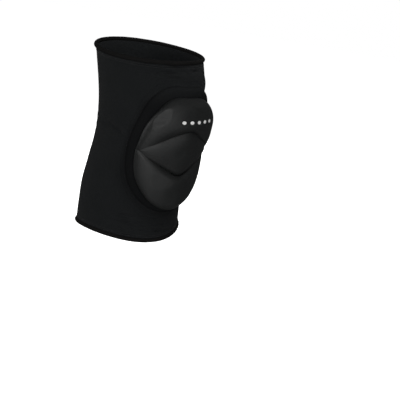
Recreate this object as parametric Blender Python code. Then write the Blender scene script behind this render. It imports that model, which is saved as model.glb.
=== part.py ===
"""Volleyball knee pad in its worn form: a knit tube with rolled ends, and on its
front a moulded pad of three panels on a stepped border.

Metres, +Z up the leg. The origin is the middle of the knee, on the leg's axis.
The pad faces -Y, and -X is the outer side of a right knee. The leg is bent a
little, so the tube's middle line bows forward at the knee.
"""

import math
from collections import namedtuple

import bmesh
import bpy
from mathutils import Vector

MM = 0.001

# ---------------------------------------------------------------- dimensions, mm

# The tube's outer surface, a circle at each height, from the calf to the thigh.
Section = namedtuple("Section", "height centre_y radius")
LEG = (
    Section(-108, 3.8, 62.8),
    Section(-75, 6.0, 61.7),
    Section(-45, 5.6, 60.8),
    Section(-15, 1.0, 59.6),
    Section(15, -4.5, 58.8),
    Section(45, -6.0, 59.3),
    Section(75, -4.0, 61.3),
    Section(105, 3.5, 62.8),
    Section(128, 11.5, 63.6),
)
KNIT_WALL = 2.4

# The ends of the tube aren't flat rings: each end's height goes
# mean + front * cos(a) + saddle * cos(2 a) + inner * sin(a), a from the front.
End = namedtuple("End", "mean front saddle inner")
THIGH_END = End(120.0, -3.0, 0.7, 3.0)
CALF_END = End(-94.5, 3.0, -4.6, 4.4)

# Rolled hem at each end: a soft tube lying on the tube's cut edge.
HEM_THICK = 4.4
HEM_TALL = 5.0
HEM_GAP = 0.4
HEM_PROUD = 0.7  # how far its middle stands out from the knit's middle

# Soft creases in the knit, each a shallow trough: where its middle is, its
# half length and half width, how its line tilts, and how deep it is.
Crease = namedtuple("Crease", "angle height half_length half_width tilt depth")
CREASES = (
    Crease(-88, 33.5, 19, 6.0, -4, 1.8),
    Crease(90, 33.0, 18, 6.0, 5, 1.6),
    Crease(176, 20.0, 30, 6.5, 2, 2.6),
    Crease(-172, 4.0, 26, 6.0, -3, 2.0),
    Crease(168, 38.0, 22, 5.5, 6, 1.4),
)
# The knit stands off the leg a little beside the pad's upper corners.
Swell = namedtuple("Swell", "angle height half_width half_height rise")
SWELLS = (
    Swell(-38, 90, 16, 20, 1.2),
    Swell(38, 90, 16, 20, 1.6),
    Swell(0, 99, 26, 10, 1.0),
)

# Pad outlines seen flat on the tube, about the pad's middle: the direction in
# degrees up from the side, and the reach to the border's and the crown's edge.
# The first and last rows are the other side's, so the curve runs on over the top.
PAD_MIDDLE_HEIGHT = 15.0
PAD_FLAT_RADIUS = 60.0  # a degree round the tube counts as pi/180 of this
Reach = namedtuple("Reach", "direction border crown")
OUTLINE = (
    Reach(-108, 71.5, 65.2),
    Reach(-90, 74.5, 69.8),
    Reach(-72, 71.5, 65.2),
    Reach(-54, 67.0, 58.2),
    Reach(-36, 63.5, 53.8),
    Reach(-18, 61.0, 51.2),
    Reach(0, 60.6, 50.2),
    Reach(18, 61.2, 50.6),
    Reach(36, 64.2, 53.8),
    Reach(54, 71.8, 58.6),
    Reach(72, 77.2, 65.6),
    Reach(90, 75.0, 64.6),
    Reach(108, 77.2, 65.6),
)

# Grooves between the panels, two chevrons with rounded points:
# point height, slope and rounding.
Chevron = namedtuple("Chevron", "point slope rounding")
UPPER_GROOVE = Chevron(42.3, -0.62, 8.0)
LOWER_GROOVE = Chevron(-10.8, 0.66, 6.0)
GROOVE_GAP = 0.5

# Heights above the knit.
PAD_GAP = 0.5
BORDER_EDGE = 2.2
BORDER_LEDGE = 6.6
BORDER_ROUND = 6.0
PANEL_GAP = 0.6
Crown = namedtuple("Crown", "height lift")
CROWN = {
    "pad_upper": (Crown(40, 18.6), Crown(52, 19.8), Crown(64, 19.4), Crown(80, 16.5)),
    "pad_centre": (Crown(-10, 13.6), Crown(5, 14.4), Crown(25, 15.6), Crown(42, 16.8)),
    "pad_lower": (Crown(-56, 15.5), Crown(-40, 17.4), Crown(-20, 16.4), Crown(15, 13.0)),
}
EDGE_LIFT = 9.0  # where a panel's upright edge turns into its rounded shoulder
OUTER_SHOULDER = {"pad_upper": 12.0, "pad_lower": 9.5}
GROOVE_SHOULDER = 5.5

# Facets.
ROUND_STEPS = 48
SLEEVE_ROWS = 17
HEM_STEPS = 8
BORDER_STEPS = 40
BORDER_LOOPS = (1.0, 0.975, 0.93, 0.88, 0.72, 0.54, 0.36, 0.18)
PANEL_LOOPS = (1.0, 0.965, 0.91, 0.82, 0.66, 0.44, 0.22)

# ------------------------------------------------------------------- curve tools


def smooth(rows, column, at):
    """A named column of a table, read at any place on a smooth curve through it."""
    xs = [row[0] for row in rows]
    ys = [getattr(row, column) for row in rows]
    at = min(max(at, xs[0]), xs[-1])
    k = max(i for i in range(len(xs) - 1) if xs[i] <= at)

    def slope(i):
        low, high = max(i - 1, 0), min(i + 1, len(xs) - 1)
        return (ys[high] - ys[low]) / (xs[high] - xs[low])

    span = xs[k + 1] - xs[k]
    t = (at - xs[k]) / span
    return (
        (2 * t**3 - 3 * t**2 + 1) * ys[k]
        + (t**3 - 2 * t**2 + t) * span * slope(k)
        + (3 * t**2 - 2 * t**3) * ys[k + 1]
        + (t**3 - t**2) * span * slope(k + 1)
    )


def turned(angle):
    """The angle between -180 and 180 degrees."""
    return (angle + 180.0) % 360.0 - 180.0


def end_height(end, angle):
    a = math.radians(angle)
    return (
        end.mean
        + end.front * math.cos(a)
        + end.saddle * math.cos(2 * a)
        + end.inner * math.sin(a)
    )


def relief(angle, height):
    """How far the knit stands in or out of the plain tube."""
    out = 0.0
    for c in CREASES:
        t = math.radians(c.tilt)
        across = math.radians(turned(angle - c.angle)) * PAD_FLAT_RADIUS
        up = height - c.height
        along = across * math.cos(t) + up * math.sin(t)
        off = -across * math.sin(t) + up * math.cos(t)
        out -= c.depth * math.exp(-((along / c.half_length) ** 2) - (off / c.half_width) ** 2)
    for s in SWELLS:
        across = turned(angle - s.angle) / s.half_width
        up = (height - s.height) / s.half_height
        out += s.rise * math.exp(-(across**2) - up**2)
    return out


def on_leg(angle, height, lift):
    """A point at this angle from the front and this height, lifted off the knit."""
    a = math.radians(angle)
    r = smooth(LEG, "radius", height) + lift
    y = smooth(LEG, "centre_y", height)
    return Vector((r * math.sin(a), y - r * math.cos(a), height)) * MM


def on_pad(across, height, lift):
    """The same for a point of the pad, by its distance across the flat pad."""
    return on_leg(math.degrees(across / PAD_FLAT_RADIUS), height, lift)


def reach(column, direction):
    """An outline's point on the flat pad, in a direction all the way round."""
    d = math.radians(direction)
    mirrored = math.degrees(math.asin(max(-1.0, min(1.0, math.sin(d)))))
    r = smooth(OUTLINE, column, mirrored)
    return (r * math.cos(d), PAD_MIDDLE_HEIGHT + r * math.sin(d))


def groove(line, across):
    return line.point + line.slope * (math.hypot(across, line.rounding) - line.rounding)


def distance_to(points, p):
    """The distance on the flat pad from p to an open line of points."""
    best = 1e9
    for a, b in zip(points, points[1:]):
        ab = (b[0] - a[0], b[1] - a[1])
        ap = (p[0] - a[0], p[1] - a[1])
        size = ab[0] ** 2 + ab[1] ** 2
        t = 0.0 if size == 0 else max(0.0, min(1.0, (ap[0] * ab[0] + ap[1] * ab[1]) / size))
        best = min(best, math.hypot(ap[0] - t * ab[0], ap[1] - t * ab[1]))
    return best


def shoulder(distance, width):
    """A quarter round: 0 at the edge, 1 from this width inwards."""
    t = max(0.0, min(1.0, distance / width))
    return math.sqrt(1.0 - (1.0 - t) ** 2)


# -------------------------------------------------------------------- mesh tools


def material(name, colour, roughness, sheen=0.0):
    m = bpy.data.materials.new(name)
    m.use_nodes = True
    shader = m.node_tree.nodes["Principled BSDF"]
    shader.inputs["Base Color"].default_value = (*colour, 1.0)
    shader.inputs["Roughness"].default_value = roughness
    shader.inputs["Metallic"].default_value = 0.0
    shader.inputs["Sheen Weight"].default_value = sheen
    m.diffuse_color = (*colour, 1.0)
    return m


def add(name, bm, mat, parent):
    bmesh.ops.recalc_face_normals(bm, faces=bm.faces)
    mesh = bpy.data.meshes.new(name)
    bm.to_mesh(mesh)
    bm.free()
    mesh.materials.append(mat)
    obj = bpy.data.objects.new(name, mesh)
    bpy.context.scene.collection.objects.link(obj)
    obj.parent = parent
    mesh.shade_smooth()
    mesh.set_sharp_from_angle(angle=math.radians(50))
    return obj


def join_rows(bm, rows, closed_rows=True, closed_columns=False):
    """Quads between rows of vertices."""
    pairs = list(zip(rows, rows[1:]))
    if closed_columns:
        pairs.append((rows[-1], rows[0]))
    for low, high in pairs:
        n = len(low)
        for i in range(n if closed_rows else n - 1):
            j = (i + 1) % n
            bm.faces.new((low[i], low[j], high[j], high[i]))


def slab(name, outline, middle, loops, top, bottom, mat, parent):
    """A closed plate on the leg: loops shrinking to a middle point, above and below."""
    bm = bmesh.new()
    faces = {}
    for side, lift in (("top", top), ("bottom", bottom)):
        rows = []
        for f in loops:
            row = []
            for x, z in outline:
                p = (middle[0] + (x - middle[0]) * f, middle[1] + (z - middle[1]) * f)
                row.append(bm.verts.new(on_pad(p[0], p[1], lift(p))))
            rows.append(row)
        join_rows(bm, rows)
        tip = bm.verts.new(on_pad(middle[0], middle[1], lift(middle)))
        last = rows[-1]
        for i in range(len(last)):
            bm.faces.new((last[i], last[(i + 1) % len(last)], tip))
        faces[side] = rows[0]
    join_rows(bm, [faces["bottom"], faces["top"]])
    return add(name, bm, mat, parent)


# ------------------------------------------------------------------------- parts


def build_sleeve(mat, parent):
    """The knit tube: an outer and an inner wall joined at both cut edges."""
    bm = bmesh.new()
    trim = HEM_TALL + HEM_GAP
    outer, inner = [], []
    for row in range(SLEEVE_ROWS):
        t = row / (SLEEVE_ROWS - 1)
        ring_out, ring_in = [], []
        for k in range(ROUND_STEPS):
            a = 360.0 * k / ROUND_STEPS
            low = end_height(CALF_END, a) + trim
            high = end_height(THIGH_END, a) - trim
            z = low + (high - low) * t
            r = relief(a, z)
            ring_out.append(bm.verts.new(on_leg(a, z, r)))
            ring_in.append(bm.verts.new(on_leg(a, z, r - KNIT_WALL)))
        outer.append(ring_out)
        inner.append(ring_in)
    join_rows(bm, outer)
    join_rows(bm, inner)
    join_rows(bm, [outer[0], inner[0]])
    join_rows(bm, [outer[-1], inner[-1]])
    return add("sleeve", bm, mat, parent)


def build_hem(name, end, up, mat, parent):
    """A rolled edge: an oval tube that follows the end of the sleeve."""
    bm = bmesh.new()
    rings = []
    for k in range(ROUND_STEPS):
        a = 360.0 * k / ROUND_STEPS
        middle = end_height(end, a) - up * HEM_TALL / 2
        ring = []
        for s in range(HEM_STEPS):
            turn = 2 * math.pi * s / HEM_STEPS
            lift = relief(a, middle) - KNIT_WALL / 2 + HEM_PROUD + HEM_THICK / 2 * math.cos(turn)
            flat = on_leg(a, middle, lift)
            flat.z = (middle + HEM_TALL / 2 * math.sin(turn)) * MM
            ring.append(bm.verts.new(flat))
        rings.append(ring)
    join_rows(bm, rings, closed_columns=True)
    return add(name, bm, mat, parent)


def build_border(mat, parent):
    """The stepped border that carries the panels."""
    outline = [reach("border", 360.0 * k / BORDER_STEPS) for k in range(BORDER_STEPS)]
    closed = outline + outline[:1]

    def top(p):
        rise = shoulder(distance_to(closed, p), BORDER_ROUND)
        return BORDER_EDGE + (BORDER_LEDGE - BORDER_EDGE) * rise + relief_under(p)

    def bottom(p):
        return PAD_GAP + relief_under(p)

    middle = (0.0, PAD_MIDDLE_HEIGHT)
    return slab("pad_border", outline, middle, BORDER_LOOPS, top, bottom, mat, parent)


def relief_under(p):
    """The knit's relief at a point of the flat pad."""
    return relief(math.degrees(p[0] / PAD_FLAT_RADIUS), p[1])


def crown_arc(start, stop, steps):
    """Points of the crown's edge from one direction to another."""
    return [reach("crown", start + (stop - start) * k / steps) for k in range(steps + 1)]


def groove_line(line, left, right, shift, steps):
    """Points of a groove from left to right, moved up by shift."""
    points = []
    for k in range(steps + 1):
        x = left + (right - left) * k / steps
        points.append((x, groove(line, x) + shift))
    return points


def tip_direction(shift):
    """The direction in which the crown's edge meets the grooves' shared tip."""
    low, high = -10.0, 20.0
    for _ in range(40):
        d = (low + high) / 2
        x, z = reach("crown", d)
        if z > tip_height(x) + shift:
            high = d
        else:
            low = d
    return (low + high) / 2


def tip_height(across):
    """Past the tips of the centre panel the two grooves run on as one."""
    return (groove(UPPER_GROOVE, across) + groove(LOWER_GROOVE, across)) / 2


def seam(across, above):
    """The edge of the upper or the lower panel along the grooves."""
    up, low = groove(UPPER_GROOVE, across), groove(LOWER_GROOVE, across)
    if up - low < 2 * GROOVE_GAP:
        up = low = (up + low) / 2
    return up + GROOVE_GAP / 2 if above else low - GROOVE_GAP / 2


def build_panel(name, mat, parent):
    """One moulded panel: its edge is part of the crown's edge, grooves, or both."""
    if name == "pad_centre":
        tip = 45.5
        upper = groove_line(UPPER_GROOVE, -tip, tip, -GROOVE_GAP / 2, 18)
        lower = groove_line(LOWER_GROOVE, -tip, tip, GROOVE_GAP / 2, 18)
        outline = upper[::-1] + lower
        edges = ((upper, GROOVE_SHOULDER), (lower, GROOVE_SHOULDER))
        middle = (0.0, 17.0)
    else:
        above = name == "pad_upper"
        shift = GROOVE_GAP / 2 if above else -GROOVE_GAP / 2
        start = tip_direction(shift)
        if above:
            arc = crown_arc(start, 180.0 - start, 22)
        else:
            arc = crown_arc(180.0 - start, 360.0 + start, 22)
        left, right = sorted((arc[0][0], arc[-1][0]))
        line = []
        steps = 16
        for k in range(1, steps):
            x = left + (right - left) * k / steps
            line.append((x, seam(x, above)))
        if not above:
            line = line[::-1]
        outline = arc + line
        edges = (
            (arc, OUTER_SHOULDER[name]),
            ([arc[-1]] + line + [arc[0]], GROOVE_SHOULDER),
        )
        middle = (0.0, 62.0) if above else (0.0, -33.0)

    def top(p):
        rise = 1.0
        for points, width in edges:
            rise = min(rise, shoulder(distance_to(points, p), width))
        full = smooth(CROWN[name], "lift", p[1])
        return EDGE_LIFT + (full - EDGE_LIFT) * rise + relief_under(p)

    def bottom(p):
        return BORDER_LEDGE + PANEL_GAP + relief_under(p)

    return slab(name, outline, middle, PANEL_LOOPS, top, bottom, mat, parent)


def clear_scene():
    for obj in list(bpy.data.objects):
        bpy.data.objects.remove(obj, do_unlink=True)


def main():
    clear_scene()
    knee_pad = bpy.data.objects.new("knee_pad", None)
    bpy.context.scene.collection.objects.link(knee_pad)

    knit = material("black_knit", (0.012, 0.013, 0.014), 0.92, 0.25)
    hem = material("black_hem", (0.010, 0.010, 0.011), 0.85, 0.15)
    border = material("black_border", (0.006, 0.006, 0.007), 0.70, 0.05)
    panel = material("black_pad_cover", (0.020, 0.021, 0.022), 0.60, 0.10)

    build_sleeve(knit, knee_pad)
    build_hem("top_hem", THIGH_END, 1.0, hem, knee_pad)
    build_hem("bottom_hem", CALF_END, -1.0, hem, knee_pad)
    build_border(border, knee_pad)
    for name in ("pad_upper", "pad_centre", "pad_lower"):
        build_panel(name, panel, knee_pad)


main()
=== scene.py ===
import math

import bmesh
import bpy
import numpy as np
from mathutils import Matrix, Vector


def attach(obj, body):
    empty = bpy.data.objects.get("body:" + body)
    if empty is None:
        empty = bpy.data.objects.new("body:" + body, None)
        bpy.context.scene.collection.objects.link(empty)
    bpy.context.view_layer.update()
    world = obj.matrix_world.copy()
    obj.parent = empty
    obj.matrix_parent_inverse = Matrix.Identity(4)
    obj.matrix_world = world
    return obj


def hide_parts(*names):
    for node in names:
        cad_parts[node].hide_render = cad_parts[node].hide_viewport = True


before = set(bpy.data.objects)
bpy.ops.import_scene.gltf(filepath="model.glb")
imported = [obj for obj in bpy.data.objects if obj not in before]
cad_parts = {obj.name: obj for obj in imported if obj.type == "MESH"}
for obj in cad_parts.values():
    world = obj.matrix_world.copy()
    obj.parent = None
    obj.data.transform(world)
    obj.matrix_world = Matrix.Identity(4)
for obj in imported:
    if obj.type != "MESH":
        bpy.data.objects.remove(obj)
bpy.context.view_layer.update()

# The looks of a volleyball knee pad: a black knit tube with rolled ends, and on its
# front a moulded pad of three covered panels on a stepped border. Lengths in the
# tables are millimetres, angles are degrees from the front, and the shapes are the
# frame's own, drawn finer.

MM = 0.001
SCENE = bpy.context.scene

# ------------------------------------------------------------------------- camera

AZIMUTH, ELEVATION, ROLL, DISTANCE = -46.0, 16.0, 9.5, 0.95
SIDEWAYS, UPWARD = 0.072, -0.060  # from the origin to where the camera looks

a, e, roll = (math.radians(x) for x in (AZIMUTH, ELEVATION, ROLL))
back = Vector((math.sin(a) * math.cos(e), -math.cos(a) * math.cos(e), math.sin(e)))
level = Vector((math.cos(a), math.sin(a), 0.0))
upright = back.cross(level)
right = level * math.cos(roll) + upright * math.sin(roll)
up = upright * math.cos(roll) - level * math.sin(roll)

camera_data = bpy.data.cameras.new("camera")
camera_data.sensor_width = 36.0
camera_data.lens = 71.25
camera_data.clip_start, camera_data.clip_end = 0.05, 60.0
camera = bpy.data.objects.new("camera", camera_data)
SCENE.collection.objects.link(camera)
turn = Matrix((right, up, back)).transposed().to_4x4()
camera.matrix_world = Matrix.Translation(back * DISTANCE + right * SIDEWAYS + up * UPWARD) @ turn
SCENE.camera = camera

# ------------------------------------------------------------- the frame's tables

# height, centre_y, radius of the tube's outer surface
LEG = np.array([
    (-108, 3.8, 62.8), (-75, 6.0, 61.7), (-45, 5.6, 60.8), (-15, 1.0, 59.6), (15, -4.5, 58.8),
    (45, -6.0, 59.3), (75, -4.0, 61.3), (105, 3.5, 62.8), (128, 11.5, 63.6),
])
KNIT_WALL = 2.4
# mean, front, saddle and inner terms of each end's height
THIGH_END = (120.0, -3.0, 0.7, 3.0)
CALF_END = (-94.5, 3.0, -4.6, 4.4)
HEM_THICK, HEM_TALL, HEM_GAP, HEM_PROUD = 4.4, 5.0, 0.4, 0.7

# angle, height, half length, half width, tilt, depth of each soft crease
CREASES = (
    (-88, 33.5, 19, 6.0, -4, 1.8),
    (90, 33.0, 18, 6.0, 5, 1.6),
    (176, 20.0, 30, 6.5, 2, 2.6),
    (-172, 4.0, 26, 6.0, -3, 2.0),
    (168, 38.0, 22, 5.5, 6, 1.4),
)
# angle, height, half width, half height, rise where the knit stands off the leg
SWELLS = ((-38, 90, 16, 20, 1.2), (38, 90, 16, 20, 1.6), (0, 99, 26, 10, 1.0))

PAD_MIDDLE = (0.0, 15.0)
FLAT_RADIUS = 60.0
# direction, the border's reach and the crown's reach about the pad's middle
OUTLINE = np.array([
    (-108, 71.5, 65.2), (-90, 74.5, 69.8), (-72, 71.5, 65.2), (-54, 67.0, 58.2), (-36, 63.5, 53.8),
    (-18, 61.0, 51.2), (0, 60.6, 50.2), (18, 61.2, 50.6), (36, 64.2, 53.8), (54, 71.8, 58.6),
    (72, 77.2, 65.6), (90, 75.0, 64.6), (108, 77.2, 65.6),
])
# point height, slope and rounding of the two chevron grooves
UPPER_GROOVE = (42.3, -0.62, 8.0)
LOWER_GROOVE = (-10.8, 0.66, 6.0)
PAD_GAP, BORDER_EDGE, BORDER_LEDGE, BORDER_ROUND, PANEL_GAP = 0.5, 2.2, 6.6, 6.0, 0.6
CROWN = {
    "pad_upper": np.array([(40, 18.8), (52, 20.1), (64, 19.8), (80, 16.5)]),
    "pad_centre": np.array([(-10, 13.6), (5, 14.4), (25, 15.6), (42, 16.8)]),
    "pad_lower": np.array([(-56, 15.5), (-40, 17.4), (-20, 16.4), (15, 13.0)]),
}

# -------------------------------------------------------------------- curve tools


def smooth(table, column, at):
    """A column of a table, read at any places on a smooth curve through it."""
    xs, ys = table[:, 0], table[:, column]
    at = np.clip(np.asarray(at, float), xs[0], xs[-1])
    k = np.clip(np.searchsorted(xs, at, side="right") - 1, 0, len(xs) - 2)
    low = np.maximum(np.arange(len(xs)) - 1, 0)
    high = np.minimum(np.arange(len(xs)) + 1, len(xs) - 1)
    slope = (ys[high] - ys[low]) / (xs[high] - xs[low])
    span = xs[k + 1] - xs[k]
    t = (at - xs[k]) / span
    return (
        (2 * t**3 - 3 * t**2 + 1) * ys[k]
        + (t**3 - 2 * t**2 + t) * span * slope[k]
        + (3 * t**2 - 2 * t**3) * ys[k + 1]
        + (t**3 - t**2) * span * slope[k + 1]
    )


def turned(angle):
    return (angle + 180.0) % 360.0 - 180.0


def end_height(end, angle):
    a = np.radians(angle)
    return end[0] + end[1] * np.cos(a) + end[2] * np.cos(2 * a) + end[3] * np.sin(a)


def fold(angle, height, middle, at, half_length, half_width, tilt, depth):
    """One soft trough, or a ridge where depth is under 0."""
    t = math.radians(tilt)
    across = np.radians(turned(angle - middle)) * FLAT_RADIUS
    up_ = height - at
    along = across * math.cos(t) + up_ * math.sin(t)
    off = -across * math.sin(t) + up_ * math.cos(t)
    return -depth * np.exp(-((along / half_length) ** 2) - (off / half_width) ** 2)


def relief(angle, height):
    """How far the knit stands in or out of the plain tube, as the frame has it."""
    out = np.zeros(np.broadcast(angle, height).shape)
    for row in CREASES:
        out += fold(angle, height, *row)
    for middle, at, half_width, half_height, rise in SWELLS:
        across = turned(angle - middle) / half_width
        out += rise * np.exp(-(across**2) - ((height - at) / half_height) ** 2)
    return out


def on_leg(angle, height, lift):
    """Points at these angles and heights, lifted off the knit, in metres."""
    a = np.radians(angle)
    r = smooth(LEG, 2, height) + lift
    y = smooth(LEG, 1, height)
    return np.stack(np.broadcast_arrays(r * np.sin(a), y - r * np.cos(a), height), -1) * MM


def on_pad(flat, lift):
    """Points of the flat pad, lifted off the knit."""
    return on_leg(np.degrees(flat[..., 0] / FLAT_RADIUS), flat[..., 1], lift)


def relief_under(flat):
    return relief(np.degrees(flat[..., 0] / FLAT_RADIUS), flat[..., 1])


def reach(column, direction):
    d = np.radians(direction)
    r = smooth(OUTLINE, column, np.degrees(np.arcsin(np.clip(np.sin(d), -1, 1))))
    return np.stack((r * np.cos(d), PAD_MIDDLE[1] + r * np.sin(d)), -1)


def groove(line, across):
    return line[0] + line[1] * (np.hypot(across, line[2]) - line[2])


def distance_to(points, p):
    """Distances on the flat pad from points p to an open line of points."""
    best = np.full(p.shape[:-1], 1e9)
    for a_, b_ in zip(points, points[1:]):
        ab = b_ - a_
        size = float(ab @ ab)
        t = np.clip(((p - a_) @ ab) / size, 0, 1) if size else np.zeros(best.shape)
        best = np.minimum(best, np.linalg.norm(p - a_ - t[..., None] * ab, axis=-1))
    return best


def shoulder(distance, width, power=2.0):
    """A rounded corner: 0 at the edge, 1 from this width inwards."""
    t = np.clip(distance / width, 0, 1)
    return (1.0 - (1.0 - t) ** power) ** (1.0 / power)


def ramp(value, low, high):
    t = np.clip((value - low) / (high - low), 0, 1)
    return t * t * (3 - 2 * t)


def least(first, second, blend=0.05):
    """The smaller of two, with the crease between them softened."""
    h = np.clip(0.5 + (second - first) / (2 * blend), 0, 1)
    return second * (1 - h) + first * h - blend * h * (1 - h)


def evenly(points, steps, closed=False):
    """The same line with its points evenly spaced."""
    if closed:
        points = np.concatenate((points, points[:1]))
    length = np.concatenate(([0.0], np.cumsum(np.linalg.norm(np.diff(points, axis=0), axis=1))))
    at = np.linspace(0, length[-1], steps + 1)
    line = np.stack([np.interp(at, length, points[:, k]) for k in range(points.shape[1])], -1)
    return line[:-1] if closed else line


# --------------------------------------------------------------------- mesh tools


class Shell:
    """Gathers grids of points into one mesh, with a map in units of 100 mm."""

    def __init__(self):
        self.points, self.faces, self.maps, self.count = [], [], [], 0

    def add(self, points):
        flat = points.reshape(-1, 3)
        index = np.arange(self.count, self.count + len(flat)).reshape(points.shape[:-1])
        self.points.append(flat)
        self.count += len(flat)
        return index

    def grid(self, index, flat, closed=True):
        """Quads between rows. flat has the map's points, with one more column if closed."""
        if closed:
            index = np.concatenate((index, index[:, :1]), 1)
        for grid, out in ((index, self.faces), (flat, self.maps)):
            quads = np.stack((grid[:-1, :-1], grid[:-1, 1:], grid[1:, 1:], grid[1:, :-1]), 2)
            out.append(quads.reshape(-1, 4, *grid.shape[2:]))

    def fan(self, ring, tip, flat, flat_tip):
        """A closed ring of points joined to one in the middle."""
        n = len(ring)
        turn_ = np.roll(ring, -1)
        tips = np.full(n, tip)
        self.faces.append(np.stack((ring, turn_, tips, tips), 1))
        self.maps.append(np.stack((flat[:-1], flat[1:], np.broadcast_to(flat_tip, (n, 2)), np.broadcast_to(flat_tip, (n, 2))), 1))

    def finish(self, name, material):
        points = np.concatenate(self.points)
        faces, maps = [], []
        for quads, flats in zip(self.faces, self.maps):
            for quad, flat in zip(quads.tolist(), flats.tolist()):
                if quad[2] == quad[3]:
                    quad, flat = quad[:3], flat[:3]
                faces.append(quad)
                maps.extend(flat)
        mesh = bpy.data.meshes.new(name)
        mesh.from_pydata(points.tolist(), [], faces)
        layer = mesh.uv_layers.new(name="cloth")
        layer.data.foreach_set("uv", np.asarray(maps, np.float32).ravel() / 100.0)
        return piece(name, mesh, material)


def face_out(mesh):
    bm = bmesh.new()
    bm.from_mesh(mesh)
    bmesh.ops.recalc_face_normals(bm, faces=bm.faces)
    bm.to_mesh(mesh)
    bm.free()


def piece(name, mesh, material):
    """One piece of the object, facing outwards, on the one body."""
    face_out(mesh)
    mesh.materials.append(material)
    mesh.shade_smooth()
    obj = bpy.data.objects.new(name, mesh)
    SCENE.collection.objects.link(obj)
    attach(obj, "root")
    return obj


# ---------------------------------------------------------------------- materials


class Nodes:
    """A short way to write a material's nodes."""

    def __init__(self, name):
        self.material = bpy.data.materials.new(name)
        self.material.use_nodes = True
        self.tree = self.material.node_tree
        self.shader = self.tree.nodes["Principled BSDF"]
        self.x = -300

    def new(self, kind, **settings):
        node = self.tree.nodes.new(kind)
        self.x -= 60
        node.location = (self.x, 0)
        for key, value in settings.items():
            setattr(node, key, value)
        return node

    def put(self, socket, value):
        if isinstance(value, bpy.types.NodeSocket):
            self.tree.links.new(value, socket)
        else:
            socket.default_value = value

    def math(self, operation, *values):
        node = self.new("ShaderNodeMath", operation=operation)
        for socket, value in zip(node.inputs, values):
            self.put(socket, value)
        return node.outputs[0]

    def mix(self, factor, first, second):
        node = self.new("ShaderNodeMix", data_type="RGBA")
        self.put(node.inputs["Factor"], factor)
        self.put(node.inputs[6], (*first, 1.0) if isinstance(first, tuple) else first)
        self.put(node.inputs[7], (*second, 1.0) if isinstance(second, tuple) else second)
        return node.outputs[2]

    def between(self, value, low, high, out_low=0.0, out_high=1.0, soft=True):
        node = self.new("ShaderNodeMapRange", interpolation_type="SMOOTHSTEP" if soft else "LINEAR")
        for socket, v in zip(node.inputs, (value, low, high, out_low, out_high)):
            self.put(socket, v)
        return node.outputs[0]

    def noise(self, vector, scale, detail=3.0, roughness=0.5):
        node = self.new("ShaderNodeTexNoise")
        self.put(node.inputs["Vector"], vector)
        self.put(node.inputs["Scale"], scale)
        self.put(node.inputs["Detail"], detail)
        self.put(node.inputs["Roughness"], roughness)
        return node.outputs["Fac"]

    def bump(self, height, strength, distance, normal=None):
        node = self.new("ShaderNodeBump")
        self.put(node.inputs["Height"], height)
        self.put(node.inputs["Strength"], strength)
        self.put(node.inputs["Distance"], distance)
        if normal is not None:
            self.put(node.inputs["Normal"], normal)
        return node.outputs["Normal"]

    def cloth(self):
        """The map's two coordinates in millimetres."""
        node = self.new("ShaderNodeUVMap", uv_map="cloth")
        split = self.new("ShaderNodeSeparateXYZ")
        self.put(split.inputs[0], node.outputs[0])
        return self.math("MULTIPLY", split.outputs[0], 100.0), self.math("MULTIPLY", split.outputs[1], 100.0)

    def place(self):
        return self.new("ShaderNodeTexCoord").outputs["Object"]

    def height(self):
        split = self.new("ShaderNodeSeparateXYZ")
        self.put(split.inputs[0], self.place())
        return split.outputs[2]

    def shade_mask_below_pad(self):
        """Mask for painted shade: 1 beside the border's lower half, 0 from about 22 mm out or up at the knee."""
        split = self.new("ShaderNodeSeparateXYZ")
        self.put(split.inputs[0], self.place())
        x, y, z = split.outputs
        turn_ = self.math("ARCTAN2", x, self.math("MULTIPLY", y, -1.0))
        across = self.math("POWER", self.math("ABSOLUTE", turn_), 2.0)
        up_ = self.math("POWER", self.math("ABSOLUTE", self.math("DIVIDE", self.math("SUBTRACT", z, 0.015), 0.075)), 2.0)
        out = self.math("SQRT", self.math("ADD", across, up_))
        return self.math(
            "MULTIPLY", self.between(out, 1.02, 1.36, 1.0, 0.0), self.between(z, -0.022, 0.018, 1.0, 0.0)
        )


def finish_shader(n, colour, roughness, specular, sheen=0.0, sheen_roughness=0.5, normal=None):
    s = n.shader.inputs
    n.put(s["Base Color"], colour)
    n.put(s["Roughness"], roughness)
    s["Specular IOR Level"].default_value = specular
    s["Sheen Weight"].default_value = sheen
    s["Sheen Roughness"].default_value = sheen_roughness
    if normal is not None:
        n.put(s["Normal"], normal)
    return n.material


def knit_pattern(n, wale, course):
    """Height of a plain knit, 0 to 1: columns of small V stitches."""
    u, v = n.cloth()
    column = n.math("FRACT", n.math("DIVIDE", u, wale))
    side = n.math("ABSOLUTE", n.math("SUBTRACT", column, 0.5))  # 0 mid column, 0.5 between
    slanted = n.math("ADD", n.math("DIVIDE", v, course), n.math("MULTIPLY", side, 1.3))
    row = n.math("ABSOLUTE", n.math("SUBTRACT", n.math("FRACT", slanted), 0.5))
    loops = n.between(row, 0.5, 0.12)
    columns = n.between(n.math("ABSOLUTE", n.math("SUBTRACT", side, 0.25)), 0.25, 0.05)
    return n.math("MULTIPLY", loops, columns)


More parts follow.
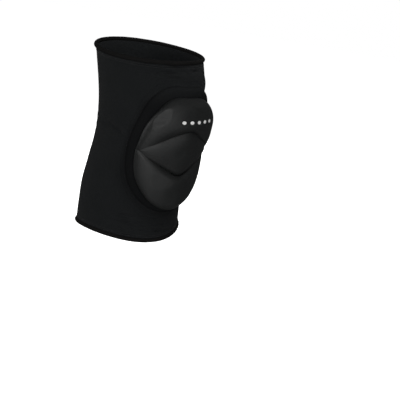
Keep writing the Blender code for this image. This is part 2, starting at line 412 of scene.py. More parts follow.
def knit_material(name, dark, light, wale, course, roughness, specular, sheen, near=None, painted_seam_shade=None):
    """near is a darker colour painted beside the pad's lower half, as painted shade; the last colour is painted shade
    along the border's seam, fading out above the pad.
    """
    n = Nodes(name)
    height = knit_pattern(n, wale, course)
    place = n.place()
    broad = n.noise(place, 38.0, 3.0, 0.55)
    fuzz = n.noise(place, 2600.0, 2.0, 0.6)
    body = n.mix(n.between(broad, 0.3, 0.7), dark, light)
    thread = n.mix(height, tuple(0.55 * c for c in dark), body)
    colour = n.mix(n.math("MULTIPLY", fuzz, 0.35), thread, tuple(1.5 * c for c in light))
    # painted shade: darker beside the pad's lower half
    if near is not None:
        colour = n.mix(n.math("MULTIPLY", n.shade_mask_below_pad(), 0.8), colour, near)
    # painted shade along the border's seam, fading out above the pad
    if painted_seam_shade is not None:
        from_seam = n.math("ADD", n.cloth()[1], n.math("MULTIPLY", n.math("SUBTRACT", broad, 0.5), 2.5))
        seam_shade_fade = n.between(n.height(), 0.064, 0.092, 0.0, 4.5)  # painted shade fades out above the pad, where the light falls from above
        colour = n.mix(n.between(n.math("ADD", from_seam, seam_shade_fade), 0.4, 5.6), painted_seam_shade, colour)
    rough = n.between(fuzz, 0.2, 0.8, roughness - 0.06, roughness + 0.04)
    normal = n.bump(height, 0.55, 0.00016)
    normal = n.bump(fuzz, 0.22, 0.00010, normal)
    normal = n.bump(broad, 0.25, 0.0006, normal)
    return finish_shader(n, colour, rough, specular, sheen, 0.55, normal)


def cover_material(name, dark, light, roughness, specular, sheen, grain=0.16, painted_lit_top=None):
    """A close smooth knit drawn over foam: a fine diagonal grain and soft dents.

    Its last argument is a paler colour painted onto the top: painted light, as the light falls from above there.
    """
    n = Nodes(name)
    height = knit_pattern(n, 0.62, 0.46)
    place = n.place()
    broad = n.noise(place, 30.0, 2.0, 0.5)
    fine = n.noise(place, 900.0, 3.0, 0.6)
    body = n.mix(n.between(broad, 0.3, 0.7), dark, light)
    colour = n.mix(height, tuple(0.7 * c for c in dark), body)
    colour = n.mix(n.math("MULTIPLY", fine, 0.2), colour, tuple(1.4 * c for c in light))
    # painted light: paler at the top, where the light falls from above
    if painted_lit_top is not None:
        colour = n.mix(n.between(n.height(), 0.064, 0.092), colour, painted_lit_top)
    rough = n.between(fine, 0.2, 0.8, roughness - 0.05, roughness + 0.05)
    normal = n.bump(height, grain * 2, 0.00010)
    normal = n.bump(fine, 0.15, 0.00012, normal)
    normal = n.bump(broad, 0.3, 0.0005, normal)
    return finish_shader(n, colour, rough, specular, sheen, 0.45, normal)


def thread_material(name, colour):
    n = Nodes(name)
    place = n.place()
    twist = n.noise(place, 1800.0, 2.0, 0.6)
    shade = n.mix(twist, colour, tuple(1.8 * c for c in colour))
    return finish_shader(n, shade, 0.6, 0.25, 0.1, 0.4, n.bump(twist, 0.4, 0.0001))


def print_material(name):
    n = Nodes(name)
    place = n.place()
    grain = n.noise(place, 1500.0, 3.0, 0.6)
    shade = n.mix(grain, (0.62, 0.62, 0.61), (0.86, 0.86, 0.85))
    return finish_shader(n, shade, n.between(grain, 0.2, 0.8, 0.42, 0.6), 0.4, 0.0, 0.5, n.bump(grain, 0.3, 0.00008))


KNIT_DARK, KNIT_LIGHT = (0.0105, 0.0115, 0.0121), (0.0134, 0.0144, 0.0150)
# painted shade: the knit's darker colour beside the pad's lower half
KNIT_PAINTED_SHADE = (0.0074, 0.0080, 0.0085)
KNIT = knit_material("black_knit", KNIT_DARK, KNIT_LIGHT, 0.95, 0.72, 0.90, 0.015, 0.018, KNIT_PAINTED_SHADE)
# the seam knit's last colour is painted shade along the border's seam
EDGE_KNIT = knit_material("black_knit_seam", KNIT_DARK, KNIT_LIGHT, 0.95, 0.72, 0.90, 0.015, 0.006, KNIT_PAINTED_SHADE, (0.0074, 0.0078, 0.0083))
HEM = knit_material("black_rolled_hem", (0.0085, 0.0083, 0.0082), (0.0112, 0.0108, 0.0105), 0.85, 0.80, 0.85, 0.02, 0.0)
# the border's last colour is painted light on its top
BORDER = cover_material("black_border_cover", (0.0064, 0.0068, 0.0072), (0.0082, 0.0086, 0.0090), 0.80, 0.01, 0.0, painted_lit_top=(0.0106, 0.0113, 0.0118))
COVER = cover_material("black_pad_cover", (0.0138, 0.0146, 0.0146), (0.0170, 0.0178, 0.0178), 0.38, 0.21, 0.0)
THREAD = thread_material("black_thread", (0.008, 0.008, 0.009))
PRINT = print_material("white_print")

# ------------------------------------------------------------------ the knit tube

rng = np.random.default_rng(7)


def scatter(count, angles, heights, lengths, widths, tilts, depths):
    """Rows for fine folds, spread over a window."""
    rows = []
    for _ in range(count):
        rows.append(tuple(rng.uniform(*pair) for pair in (angles, heights, lengths, widths, tilts, depths)))
    return rows


FINE_FOLDS = (
    scatter(26, (-46, 22), (94, 113), (4, 10), (1.0, 1.5), (-6, 4), (0.9, 1.6))
    + scatter(12, (-30, 24), (88, 99), (4, 9), (1.0, 1.6), (-5, 5), (0.6, 1.1))
    + scatter(30, (-52, 26), (-89, -58), (4, 11), (1.0, 1.5), (-6, 4), (0.9, 1.6))
    + scatter(8, (-100, -60), (-60, 100), (5, 12), (1.0, 1.8), (-14, 10), (0.15, 0.35))
    + scatter(14, (150, 210), (-20, 60), (9, 20), (1.6, 2.8), (-8, 8), (0.25, 0.6))
    + scatter(10, (95, 150), (0, 50), (8, 16), (1.6, 2.6), (-12, 4), (0.15, 0.4))
    + scatter(10, (-150, -95), (0, 50), (8, 16), (1.6, 2.6), (-4, 12), (0.15, 0.4))
    + scatter(14, (-180, 180), (-88, 108), (6, 14), (1.2, 2.0), (-10, 10), (0.08, 0.2))
)
# The longer pulls that run from the ends towards the pad's corners.
PULLS = (
    (38.5, 95, 15, 1.9, -62, -1.5),
    (34.5, 97, 15, 2.8, -62, 1.0),
    (-88, 36.8, 13, 1.9, -7, 1.1),
    (-82, 31.0, 15, 3.2, -6, -0.8),
    (-91, 33.8, 15, 2.2, -2, 2.1),
    (-77, 32.0, 10, 2.0, -16, 1.7),
    (-69, 28.8, 8, 2.0, -34, 1.6),
    (-100, 37.5, 9, 1.6, 6, 0.5),
    (-40, 98, 14, 3.0, 60, -0.35),
    (46, -52, 14, 2.6, 55, -0.5),
    (-48, -52, 15, 2.8, -55, -0.4),
    (-62, 36, 10, 3.2, -8, -0.7),
    (-80, 44, 14, 5.0, -6, -0.5),
    (-84, 22, 15, 5.0, -3, -0.5),
)


def knit_detail(angle, height):
    out = np.zeros(np.broadcast(angle, height).shape)
    for row in (*FINE_FOLDS, *PULLS):
        out += fold(angle, height, *row)
    across = np.radians(turned(angle)) * FLAT_RADIUS
    away = np.hypot(across, height - PAD_MIDDLE[1])
    direction = np.degrees(np.arcsin(np.clip((height - PAD_MIDDLE[1]) / np.maximum(away, 1.0), -1, 1)))
    out *= ramp(away - smooth(OUTLINE, 1, direction), 4.0, 10.0)
    a_ = np.radians(angle)
    out += 0.16 * np.sin(3 * a_ + 0.045 * height + 0.8) * np.sin(0.052 * height + 1.1)
    out += 0.10 * np.sin(7 * a_ - 0.06 * height) * np.sin(0.085 * height + 2.0 + 2 * a_)
    for end, side in ((THIGH_END, 1.0), (CALF_END, -1.0)):
        inside = side * (end_height(end, angle) - height) - HEM_TALL
        fade = np.exp(-((np.maximum(inside, 0) / 6.5) ** 2))
        out += fade * (0.09 * np.sin(74 * a_ + 2.0 * np.sin(5 * a_)) - 0.35)
    return out


def build_sleeve():
    steps, rows, inner_rows = ((320, 270, 24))
    angle = np.arange(steps) * 360.0 / steps
    trim = HEM_TALL - 0.6  # sewn into the roll
    low = end_height(CALF_END, angle) + trim
    high = end_height(THIGH_END, angle) - trim

    def wall(count, lift, inset):
        t = np.linspace(0, 1, count)[:, None]
        z = (low + inset) + (high - low - 2 * inset) * t
        ring = np.broadcast_to(angle, z.shape)
        return ring, z, on_leg(ring, z, relief(ring, z) + knit_detail(ring, z) + lift)

    def flat(ring, z):
        u = np.radians(np.concatenate((ring, ring[:, :1] + 360.0), 1)) * 62.0
        return np.stack((u, np.concatenate((z, z[:, :1]), 1)), -1)

    shell = Shell()
    ring, z, points = wall(rows, 0.0, 0.5)
    outer = shell.add(points)
    shell.grid(outer, flat(ring, z))
    ring_in, z_in, points_in = wall(inner_rows, -KNIT_WALL, 0.5)
    inner = shell.add(points_in)
    shell.grid(inner, flat(ring_in, z_in))
    for end, edge in ((0, low), (-1, high)):
        side = -1.0 if end == 0 else 1.0
        lip = []
        for lift, inset in ((-0.35, 0.15), (-1.2, 0.0), (-2.05, 0.15)):
            at = edge - side * inset
            lip.append(on_leg(angle, at, relief(angle, at) + knit_detail(angle, at) + lift))
        lip = shell.add(np.stack(lip))
        index = np.concatenate((outer[end][None], lip, inner[end][None]))
        heights = np.stack([z[end], edge, edge + side, edge + 2 * side, edge + 3 * side])
        shell.grid(index, flat(np.broadcast_to(angle, heights.shape), heights))
    return shell.finish("sleeve_knit", KNIT)


def build_hem(name, end, up_):
    """A rolled edge, a little uneven along its length."""
    steps, round_steps = ((560, 28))
    angle = np.arange(steps) * 360.0 / steps
    a_ = np.radians(angle)
    middle = end_height(end, angle) - up_ * HEM_TALL / 2
    base = relief(angle, middle) - KNIT_WALL / 2 + HEM_PROUD
    uneven = 0.10 * np.sin(9 * a_ + 0.6) + 0.07 * np.sin(23 * a_ + 1.9) + 0.05 * np.sin(57 * a_)
    turn_ = np.arange(round_steps) * 2 * math.pi / round_steps
    rings = []
    for t in turn_:
        # The roll is fuller outside and tucks in towards the tube.
        thick = HEM_THICK / 2 * (1.0 + 0.05 * np.sin(61 * a_ + 3 * math.cos(t)) * max(0.0, math.cos(t)))
        lift = base + (thick + uneven * 0.5) * math.cos(t)
        height = middle + (HEM_TALL / 2 + uneven * 0.4 - 0.1) * math.sin(t)
        point = on_leg(angle, middle, lift)
        point[:, 2] = height * MM
        rings.append(point)
    shell = Shell()
    index = shell.add(np.stack(rings))
    index = np.concatenate((index, index[:1]))
    u = np.radians(np.append(angle, 360.0)) * 62.0
    v = np.append(turn_, 2 * math.pi) * 2.3
    flat = np.stack(np.broadcast_arrays(u[None, :], v[:, None]), -1)
    shell.grid(index, flat)
    return shell.finish(name, HEM)


def capsules(name, starts, ends, outward, radius, material, sides=6):
    """Many short rounded threads as one mesh."""
    starts, ends, outward = (np.asarray(x, float) for x in (starts, ends, outward))
    along = ends - starts
    length = np.linalg.norm(along, axis=1, keepdims=True)
    along = along / length
    side = np.cross(along, outward)
    side /= np.linalg.norm(side, axis=1, keepdims=True)
    lift = np.cross(side, along)
    shell = Shell()
    turn_ = np.arange(sides) * 2 * math.pi / sides
    profile = ((0.0, 0.35), (0.10, 0.85), (0.5, 1.0), (0.90, 0.85), (1.0, 0.35))
    rings = []
    for at, wide in profile:
        arch = radius * 1.1 * math.sin(math.pi * at) - radius * 0.5
        centre = starts + along * length * at + lift * arch
        ring = centre[:, None] + (
            side[:, None] * np.cos(turn_)[None, :, None] + lift[:, None] * np.sin(turn_)[None, :, None]
        ) * (radius * wide)
        rings.append(ring)
    rings = np.stack(rings, 1)  # stitch, ring, side, xyz
    flat = np.zeros((len(profile), sides + 1, 2))
    flat[..., 0] = np.arange(sides + 1) * 0.2
    flat[..., 1] = np.arange(len(profile))[:, None] * 0.4
    for stitch in range(len(starts)):
        index = shell.add(rings[stitch])
        shell.grid(index, flat)
        for row in (0, -1):
            tip = shell.add(rings[stitch, row].mean(0)[None])[0]
            shell.fan(index[row], tip, flat[row], flat[row].mean(0))
    return shell.finish(name, material)


def build_hem_stitches(name, end, up_):
    """Two rows of short stitches that hold the roll down, inside the dark line."""
    pitch = 360.0 / 132
    starts, ends, outs = [], [], []
    for row, (below, lift) in enumerate(((1.1, 0.12), (2.9, 0.12))):
        angle = (np.arange(132) + 0.5 * row) * pitch
        for shift, out in ((-0.34, starts), (0.34, ends)):
            at = angle + shift * pitch
            z = end_height(end, at) - up_ * (HEM_TALL + HEM_GAP + below)
            out.append(on_leg(at, z, relief(at, z) + knit_detail(at, z) + lift))
        outs.append(np.stack((np.sin(np.radians(angle)), -np.cos(np.radians(angle)), 0 * angle), -1))
    return capsules(name, np.concatenate(starts), np.concatenate(ends), np.concatenate(outs), 0.00022, THREAD)


# ------------------------------------------------------------------------- border


def closing_loops(count, power):
    """Loop sizes from 1 at the edge towards 0 in the middle, closer near the edge."""
    return 1.0 - (np.arange(count) / count) ** power


def build_slab(name, outline, middle, loops, top, bottom, material, wall=3):
    """A closed plate on the leg, drawn as loops that shrink to a point, above and below."""
    shell = Shell()
    n = len(outline)
    middle = np.asarray(middle, float)
    walls = {}
    for side, lift in (("top", top), ("bottom", bottom)):
        use = loops if side == "top" else loops[:: max(1, len(loops) // 6)]
        flat = middle + (outline - middle) * use[:, None, None]
        lifts = lift(flat)
        points = on_pad(flat, lifts)
        index = shell.add(points)
        centre = on_pad(middle[None], lift(middle[None]))
        # The map follows the surface outwards from the middle, so the weave isn't stretched.
        rays = np.concatenate((points, np.broadcast_to(centre, (1, n, 3))))[::-1]
        run = np.concatenate((np.zeros((1, n)), np.cumsum(np.linalg.norm(np.diff(rays, axis=0), axis=2), 0)))[::-1][:-1] / MM
        away = flat[0] - middle
        away = away / np.linalg.norm(away, axis=1, keepdims=True)
        spread = middle + away[None] * run[..., None]
        spread = np.concatenate((spread, spread[:, :1]), 1)
        shell.grid(index, spread)
        tip = shell.add(centre)[0]
        shell.fan(index[-1], tip, spread[-1], middle)
        walls[side] = (index[0], lifts[0], flat[0], spread[0])
    (low_i, low_l, edge, _), (high_i, high_l, _, spread) = walls["bottom"], walls["top"]
    steps = np.linspace(0, 1, wall + 2)[1:-1]
    rows = [on_pad(edge, low_l + (high_l - low_l) * t) for t in steps]
    index = np.concatenate((low_i[None], shell.add(np.stack(rows)), high_i[None]))
    out = spread - middle
    out = out / np.linalg.norm(out, axis=1, keepdims=True)
    tall = (high_l - low_l).mean()
    flat = np.stack([spread + out * tall * (1 - t) for t in (0.0, *steps, 1.0)])
    shell.grid(index, flat)
    return shell.finish(name, material)


BORDER_LINE = evenly(reach(1, np.arange(0, 360, 0.5)), 420, closed=True)


def border_top(p):
    closed = np.concatenate((BORDER_LINE[::4], BORDER_LINE[:1]))
    rise = shoulder(distance_to(closed, p), BORDER_ROUND)
    soft = 0.10 * np.sin(p[..., 0] * 0.21 + 1.0) * np.sin(p[..., 1] * 0.17)
    return BORDER_EDGE + (BORDER_LEDGE - BORDER_EDGE + soft) * rise + relief_under(p)


def build_border():
    loops = closing_loops(30, 2.2)
    return build_slab(
        "border_cover", BORDER_LINE, PAD_MIDDLE, loops, border_top,
        lambda p: PAD_GAP + relief_under(p), BORDER,
    )


def outwards(line):
    """Unit directions away from a closed line on the flat pad."""
    along = np.roll(line, -1, 0) - np.roll(line, 1, 0)
    out = np.stack((along[:, 1], -along[:, 0]), -1)
    return out / np.linalg.norm(out, axis=1, keepdims=True)


def build_border_edge():
    """The knit where it climbs to the border: a thin strip all round it."""
    shell = Shell()
    out = outwards(BORDER_LINE)
    away = np.array([0.06, 0.35, 0.8, 1.4, 2.1, 2.9, 3.9, 5.0, 6.4])
    rise = np.array([2.12, 1.98, 1.72, 1.38, 1.02, 0.68, 0.36, 0.16, 0.05])

    def lifted(d, h):
        p = BORDER_LINE + out * d
        angle = np.degrees(p[:, 0] / FLAT_RADIUS)
        return on_leg(angle, p[:, 1], relief(angle, p[:, 1]) + knit_detail(angle, p[:, 1]) + h)

    rows = [lifted(d, h) for d, h in zip(away, rise)]
    rows += [lifted(d, 0.02) for d in away[::-1][::3]] + [lifted(0.06, 0.02)]
    index = shell.add(np.stack(rows))
    index = np.concatenate((index, index[:1]))
    run = np.append(np.arange(len(BORDER_LINE)), len(BORDER_LINE)) * 1.03
    v = np.concatenate((away, away[::-1][::3] + 6, [6.06, 0.0]))
    flat = np.stack(np.broadcast_arrays(run[None, :], v[:, None]), -1)
    shell.grid(index, flat)
    return shell.finish("border_edge_knit", EDGE_KNIT)


def build_border_stitches():
    """A line of short stitches where the border is sewn to the knit."""
    count = 150
    line = evenly(BORDER_LINE, count, closed=True)
    out = outwards(line)
    along = np.stack((-out[:, 1], out[:, 0]), -1)
    starts, ends = [], []
    for shift, store in ((-0.95, starts), (0.95, ends)):
        p = line + out * 1.5 + along * shift
        angle = np.degrees(p[:, 0] / FLAT_RADIUS)
        store.append(on_leg(angle, p[:, 1], relief(angle, p[:, 1]) + knit_detail(angle, p[:, 1]) + 1.12))
    a_ = line[:, 0] / FLAT_RADIUS
    outs = np.stack((np.sin(a_), -np.cos(a_), 0 * a_), -1)
    return capsules("border_stitches", starts[0], ends[0], outs, 0.00020, THREAD)


# ------------------------------------------------------------------------- panels

TIP = 46.8  # where the middle panel's points end
SEAM_GAP = 0.3
# height, width of the crown's outer shoulder, how square its profile is
SHOULDER = np.array([
    (-56, 9.0, 2.1), (-20, 10.5, 2.1), (10, 11.5, 2.0), (30, 13.5, 1.9), (46, 12.0, 1.9),
    (56, 9.5, 2.0), (68, 8.5, 2.0), (82, 9.5, 1.9),
])
EDGE_LIFT = 9.0
CROWN_LINE = evenly(reach(2, np.arange(0, 360, 1.0)), 150, closed=True)


def tip_height(across):
    return (groove(UPPER_GROOVE, across) + groove(LOWER_GROOVE, across)) / 2


def seam(across, above):
    up_, low = groove(UPPER_GROOVE, across), groove(LOWER_GROOVE, across)
    shut = up_ - low < 2 * SEAM_GAP
    both = (up_ + low) / 2
    up_, low = np.where(shut, both, up_), np.where(shut, both, low)
    return up_ + SEAM_GAP / 2 if above else low - SEAM_GAP / 2


def tip_direction(shift):
    low, high = -10.0, 20.0
    for _ in range(40):
        d = (low + high) / 2
        x, z = reach(2, d)
        low, high = (low, d) if z > tip_height(x) + shift else (d, high)
    return (low + high) / 2


# For each groove side: width of its fall at the middle and out by the tips, how late it
# falls, and how deep it falls at the middle and at the tips.
ROLLS = {
    "pad_upper": (5.5, 13.0, 1.7, 5.4, 2.4),
    "pad_centre_top": (9.0, 5.0, 1.8, 2.9, 0.9),
    "pad_centre_bottom": (7.0, 6.0, 2.4, 3.6, 0.8),
    "pad_lower": (5.0, 5.0, 2.2, 3.6, 0.8),
}


# How tall, how wide and how soft the keel down each panel's middle is.
KEEL = {"pad_upper": (2.8, 24.0, 4.0), "pad_centre": (3.0, 22.0, 2.0), "pad_lower": (3.8, 24.0, 2.4)}
FLAT_SIDES = (2.0, 31.0, 0.55)  # between these, each side is nearer flat than round
# The flat fold on the upper panel's left shoulder: three places on the panel that its
# plane passes near, and how far outside them it lies.
FACET, FACET_OUT = np.array([(-28.5, 47.5), (-25.0, 70.0), (-39.5, 48.5)]), 0.6


def panel_edges(name):
    """A panel's outline, the groove lines that cut it, and its middle."""
    if name == "pad_centre":
        x = np.linspace(-TIP, TIP, 90)
        upper = np.stack((x, groove(UPPER_GROOVE, x) - SEAM_GAP / 2), -1)
        lower = np.stack((x, groove(LOWER_GROOVE, x) + SEAM_GAP / 2), -1)
        outline = np.concatenate((upper[::-1], lower))
        return outline, ((upper, "pad_centre_top"), (lower, "pad_centre_bottom")), (0.0, 17.0)
    above = name == "pad_upper"
    start = tip_direction(SEAM_GAP / 2 if above else -SEAM_GAP / 2)
    turn_ = np.linspace(start, 180.0 - start, 90) if above else np.linspace(180.0 - start, 360.0 + start, 90)
    arc = reach(2, turn_)
    left, right_ = sorted((arc[0][0], arc[-1][0]))
    x = np.linspace(left, right_, 70)[1:-1]
    line = np.stack((x, seam(x, above)), -1)
    if not above:
        line = line[::-1]
    outline = np.concatenate((arc, line))
    whole = np.concatenate((arc[-1:], line, arc[:1]))
    return outline, ((whole, name),), (0.0, 62.0) if above else (0.0, -33.0)


def crown(name, p):
    """The panel's surface before the grooves are cut, rounded over at the crown's edge."""
    full = smooth(CROWN[name], 1, p[..., 1])
    closed = np.concatenate((CROWN_LINE, CROWN_LINE[:1]))
    t = np.clip(distance_to(closed, p) / smooth(SHOULDER, 1, p[..., 1]), 0, 1)
    power = smooth(SHOULDER, 2, p[..., 1])
    rise = (1.0 - (1.0 - t) ** power) ** (1.0 / power)
    tall, wide, soft = KEEL[name]
    keel = tall * (1.0 - np.hypot(p[..., 0], soft) / wide)
    near, far, bend = FLAT_SIDES
    s = (np.clip(np.abs(p[..., 0]), near, far) - near) / (far - near)
    full = full + (least(keel, 0.0 * keel, -0.6) - 16.0 * bend * (s * (1.0 - s)) ** 2) * ramp(t, 0.2, 1.0)
    return EDGE_LIFT + (full - EDGE_LIFT) * rise


def under_facet(p):
    """How far the panel may rise before it meets the flat fold's plane."""
    a, b, c = on_pad(FACET, crown("pad_upper", FACET) + swell_at("pad_upper", FACET)) / MM
    out = np.cross(b - a, c - a)
    out *= np.sign(out @ a) / np.linalg.norm(out)
    low = on_pad(p, 0.0 * p[..., 0]) / MM
    rise = on_pad(p, 0.0 * p[..., 0] + 1.0) / MM - low
    x, z = p[..., 0], p[..., 1]
    creased = 0.06 * np.sin(0.9 * x + 0.35 * z) + 0.05 * np.sin(0.5 * x - 0.8 * z + 1.2)
    creased = creased + 0.35 * ramp(z, 60.0, 70.0) + 0.25 * np.sin(0.42 * z + 0.4)
    return (out @ a + FACET_OUT + creased - low @ out) / np.maximum(rise @ out, 0.05)


def panel_top(name, lines):
    def top(p):
        base = crown(name, p) + swell_at(name, p)
        if name == "pad_upper":
            base = least(base, under_facet(p), 0.25 + 0.9 * ramp(-p[..., 0], 28, 37))
        lift = base
        for line, side in lines:
            middle_width, tip_width, power, deep, shallow = ROLLS[side]
            across = np.abs(p[..., 0])
            width = middle_width + (tip_width - middle_width) * ramp(across, 6, 32)
            fall = shallow + (deep - shallow) * np.clip(1 - (across / 47.0) ** 1.3, 0, 1)
            t = np.clip(distance_to(line, p) / width, 0, 1)
            cut = fall * (1.0 - t) ** power
            lift = least(lift, base - cut, 0.15)
        floor_ = BORDER_LEDGE + PANEL_GAP + 0.9
        return np.maximum(lift, floor_) + relief_under(p)

    return top


PANELS = ("pad_upper", "pad_centre", "pad_lower")
SWELL_LOOPS, SWELL_STEPS = 18, 96
CLOTH_MASS, CLOTH_STIFF, CLOTH_PRESSURE = 0.3, 5.0, 400.0
LEAST_SWELL, MOST_SWELL = -0.5, 2.0  # millimetres
SLACK = 0.7  # how much smaller the panels start
SWELLING = {}


def simulate_covers():
    """Swells each panel's cover over its foam by a cloth simulation, for SWELLING.

    Each panel is a coarse closed shape, a little smaller than the real one. Its sides,
    underside and edge are held, and a pressure inside fills the cover out.
    """
    shapes = {}
    for name in PANELS:
        outline, _, middle = panel_edges(name)
        middle = np.array(middle)
        outline = evenly(outline, SWELL_STEPS, closed=True)
        f = 1.0 - np.arange(SWELL_LOOPS) / SWELL_LOOPS
        flat = middle + (outline - middle) * f[:, None, None]
        lines = panel_edges(name)[1]
        top = panel_top(name, lines)
        tops = on_pad(flat, top(flat) * 0.985)
        tip = on_pad(middle[None], top(middle[None]) * 0.985)
        low = on_pad(outline, np.full(len(outline), BORDER_LEDGE + PANEL_GAP))
        low_tip = on_pad(middle[None], np.array([BORDER_LEDGE + PANEL_GAP]))
        points = np.concatenate((tops.reshape(-1, 3), tip, low, low_tip))
        n, m = SWELL_STEPS, SWELL_LOOPS
        faces = []
        for j in range(n):
            k = (j + 1) % n
            faces += [(i * n + j, i * n + k, (i + 1) * n + k, (i + 1) * n + j) for i in range(m - 1)]
            faces.append(((m - 1) * n + j, (m - 1) * n + k, m * n))
            faces.append((j, m * n + 1 + j, m * n + 1 + k, k))
            faces.append((m * n + 1 + j, m * n + 1 + n, m * n + 1 + k))
        mesh = bpy.data.meshes.new("swelling_" + name)
        mesh.from_pydata(points.tolist(), [], faces)
        obj = bpy.data.objects.new("swelling_" + name, mesh)
        SCENE.collection.objects.link(obj)
        face_out(mesh)
        held = obj.vertex_groups.new(name="held")
        held.add([*range(n), *range(m * n + 1, len(points))], 1.0, "REPLACE")
        cloth = obj.modifiers.new("cover", "CLOTH")
        cloth.settings.quality = 6
        cloth.settings.mass = CLOTH_MASS
        cloth.settings.tension_stiffness = cloth.settings.compression_stiffness = CLOTH_STIFF
        cloth.settings.shear_stiffness = CLOTH_STIFF * 0.5
        cloth.settings.bending_stiffness = 0.4
        cloth.settings.use_pressure = True
        cloth.settings.uniform_pressure_force = CLOTH_PRESSURE
        cloth.settings.vertex_group_mass = "held"
        cloth.settings.effector_weights.gravity = 0.0
        cloth.collision_settings.use_collision = False
        cloth.point_cache.frame_start, cloth.point_cache.frame_end = 1, 20
        shapes[name] = (obj, points, outline, middle, f)
    for frame_number in range(1, 21):
        SCENE.frame_set(frame_number)
    graph = bpy.context.evaluated_depsgraph_get()
    for name, (obj, points, outline, middle, f) in shapes.items():
        done = obj.evaluated_get(graph).to_mesh()
        after = np.empty(len(points) * 3)
        done.vertices.foreach_get("co", after)
        moved = (after.reshape(-1, 3) - points) / MM
        count = SWELL_LOOPS * SWELL_STEPS
        axis = np.stack((0 * points[:, 2], smooth(LEG, 1, points[:, 2] / MM) * MM, points[:, 2]), -1)
        outward = points - axis
        outward /= np.linalg.norm(outward, axis=1, keepdims=True)
        field = (moved * outward).sum(1)[: count + 1]
        field = np.clip(field, LEAST_SWELL, MOST_SWELL) - SLACK
        rows = np.concatenate((field[:count].reshape(SWELL_LOOPS, SWELL_STEPS), np.full((1, SWELL_STEPS), field[count])))
        SWELLING[name] = (outline, middle, rows)
        obj.evaluated_get(graph).to_mesh_clear()
        mesh = obj.data
        bpy.data.objects.remove(obj, do_unlink=True)
        bpy.data.meshes.remove(mesh)
    SCENE.frame_set(1)


def swell_at(name, p):
    """The simulated swell at any points of the flat pad."""
    if name not in SWELLING:
        return np.zeros(p.shape[:-1])
    outline, middle, rows = SWELLING[name]
    away = outline - middle
    angle = np.arctan2(away[:, 1], away[:, 0])
    order = np.argsort(angle)
    angle, size, rows = angle[order], np.linalg.norm(away, axis=1)[order], rows[:, order]
    angle = np.concatenate((angle[-1:] - 2 * math.pi, angle, angle[:1] + 2 * math.pi))
    size = np.concatenate((size[-1:], size, size[:1]))
    rows = np.concatenate((rows[:, -1:], rows, rows[:, :1]), 1)
    d = p - middle
    at = np.interp(np.arctan2(d[..., 1], d[..., 0]), angle, np.arange(len(angle)))
    f = np.linalg.norm(d, axis=-1) / np.interp(at, np.arange(len(size)), size)
    row = np.clip((1.0 - f) * SWELL_LOOPS, 0, SWELL_LOOPS)
    i, j = np.minimum(row.astype(int), SWELL_LOOPS - 1), np.minimum(at.astype(int), len(angle) - 2)
    u, v = row - i, at - j
    return (
        rows[i, j] * (1 - u) * (1 - v) + rows[i + 1, j] * u * (1 - v)
        + rows[i, j + 1] * (1 - u) * v + rows[i + 1, j + 1] * u * v
    )


def build_panel(name):
    outline, lines, middle = panel_edges(name)
    outline = evenly(outline, 340, closed=True)
    loops = closing_loops(46, 1.7)
    return build_slab(
        name + "_cover", outline, middle, loops, panel_top(name, lines),
        lambda p: BORDER_LEDGE + PANEL_GAP + relief_under(p), COVER,
    )


def build_print():
    """Five plain round dots printed in a row on the upper panel."""
    _, edges, _ = panel_edges("pad_upper")
    top = panel_top("pad_upper", edges)
    shell = Shell()
    turn_ = np.arange(28) * 2 * math.pi / 28
    ring = np.stack((np.cos(turn_), np.sin(turn_)), -1)
    for k in range(5):
        middle = np.array([-12.0 + 7.6 * k, 54.6 + 0.35 * k])
        rows = []
        for size, lift in ((1.0, 0.02), (0.985, 0.13), (0.93, 0.17), (0.6, 0.18), (0.3, 0.18)):
            p = middle + ring * 1.9 * size
            rows.append(on_pad(p, top(p) + lift))
        index = shell.add(np.stack(rows))
        flat = np.stack([middle + np.concatenate((ring, ring[:1])) * s for s in (2.0, 1.9, 1.75, 1.1, 0.6)])
        shell.grid(index, flat)
        tip = shell.add(on_pad(middle[None], top(middle[None]) + 0.18))[0]
        shell.fan(index[-1], tip, flat[-1], middle)
        low = shell.add(on_pad(middle[None], top(middle[None]) + 0.02))[0]
        shell.fan(index[0], low, flat[0], middle)
    return shell.finish("print_dots", PRINT)


# ------------------------------------------------------------------------ put up

sleeve = build_sleeve()
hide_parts("sleeve")
top_hem = build_hem("top_hem_roll", THIGH_END, 1.0)
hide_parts("top_hem")
bottom_hem = build_hem("bottom_hem_roll", CALF_END, -1.0)
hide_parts("bottom_hem")
top_stitches = build_hem_stitches("top_hem_stitches", THIGH_END, 1.0)
bottom_stitches = build_hem_stitches("bottom_hem_stitches", CALF_END, -1.0)
border = build_border()
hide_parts("pad_border")
border_edge = build_border_edge()
border_stitches = build_border_stitches()
simulate_covers()
for part in PANELS:
    cover = build_panel(part)
    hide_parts(part)
build_print()

# ------------------------------------------------------------------ floor, lights


def seen_only(obj):
    """Part of the studio: the camera sees it, and it throws no light on the object."""
    obj.visible_diffuse = obj.visible_glossy = obj.visible_transmission = False
    obj.visible_volume_scatter = obj.visible_shadow = False
    SCENE.collection.objects.link(obj)


FLOOR_HEIGHT, STUDIO = -0.45, 9.0

floor_nodes = Nodes("pale_floor")
haze = floor_nodes.noise(floor_nodes.place(), 1.5, 2.0, 0.5)
finish_shader(floor_nodes, floor_nodes.mix(haze, (0.84, 0.84, 0.84), (0.88, 0.88, 0.88)), 0.95, 0.0)
floor_nodes.shader.inputs["Emission Color"].default_value = (1.0, 1.0, 1.0, 1.0)
floor_nodes.shader.inputs["Emission Strength"].default_value = 0.97
disc = bpy.data.meshes.new("floor")
around = [2 * math.pi * k / 96 for k in range(96)]
disc.from_pydata([(STUDIO * math.cos(t), STUDIO * math.sin(t), FLOOR_HEIGHT) for t in around], [], [list(range(96))])
disc.materials.append(floor_nodes.material)
floor = bpy.data.objects.new("floor", disc)
seen_only(floor)

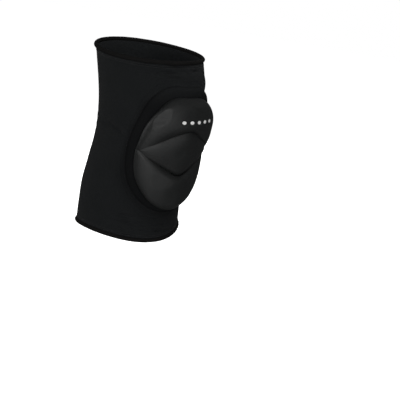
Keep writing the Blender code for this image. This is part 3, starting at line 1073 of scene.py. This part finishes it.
# The backdrop, a plain white wall that closes over.
backdrop_nodes = Nodes("white_backdrop")
backdrop_nodes.shader.inputs["Base Color"].default_value = (0.0, 0.0, 0.0, 1.0)
backdrop_nodes.shader.inputs["Specular IOR Level"].default_value = 0.0
backdrop_nodes.shader.inputs["Emission Color"].default_value = (1.0, 1.0, 1.0, 1.0)
backdrop_nodes.shader.inputs["Emission Strength"].default_value = 1.0
backdrop_nodes.material.cycles.emission_sampling = "NONE"
dome = bpy.data.meshes.new("backdrop")
rings = [[(STUDIO * math.cos(t) * math.cos(r), STUDIO * math.sin(t) * math.cos(r), STUDIO * math.sin(r) + FLOOR_HEIGHT)
          for t in around] for r in [math.pi / 2 * k / 24 for k in range(24)]]
corners = [p for ring in rings for p in ring] + [(0.0, 0.0, STUDIO + FLOOR_HEIGHT)]
walls = [(i * 96 + j, i * 96 + (j + 1) % 96, (i + 1) * 96 + (j + 1) % 96, (i + 1) * 96 + j) for i in range(23) for j in range(96)]
walls += [(23 * 96 + j, 23 * 96 + (j + 1) % 96, len(corners) - 1) for j in range(96)]
dome.from_pydata(corners, [], walls)
dome.materials.append(backdrop_nodes.material)
seen_only(bpy.data.objects.new("backdrop", dome))


def area_light(name, azimuth, elevation, distance, size, watts, glossy=True, look=(0, 0, 0.015)):
    data = bpy.data.lights.new(name, "AREA")
    data.shape = "DISK"
    data.size = size
    data.energy = watts
    a_, e_ = math.radians(azimuth), math.radians(elevation)
    back_ = Vector((math.sin(a_) * math.cos(e_), -math.cos(a_) * math.cos(e_), math.sin(e_)))
    obj = bpy.data.objects.new(name, data)
    obj.location = Vector(look) + back_ * distance
    obj.rotation_mode = "QUATERNION"
    obj.rotation_quaternion = (-back_).to_track_quat("-Z", "Y")
    obj.visible_camera = False
    obj.visible_glossy = glossy
    SCENE.collection.objects.link(obj)
    return obj


area_light("front_softbox", -42, 15, 1.6, 3.0, 23)
area_light("low_front", -16, -15, 1.6, 0.9, 2.6)
area_light("small_front", -52, 12, 1.6, 0.6, 5.4)
area_light("left_fill", -140, 15, 1.6, 0.8, 4.8)
area_light("floor_bounce", -50, -55, 1.6, 1.6, 3.5)
area_light("back_right_fill", 130, 15, 2.2, 1.6, 26, glossy=False)
area_light("top_right_fill", 60, 60, 0.35, 0.25, 0.45, glossy=False)
area_light("back_left_fill", -170, 15, 2.2, 1.6, 14, glossy=False)

world = bpy.data.worlds.new("studio")
world.use_nodes = True
world.node_tree.nodes["Background"].inputs["Color"].default_value = (1.0, 1.0, 1.0, 1.0)
world.node_tree.nodes["Background"].inputs["Strength"].default_value = 0.06
SCENE.world = world
SCENE.view_settings.view_transform = "Standard"
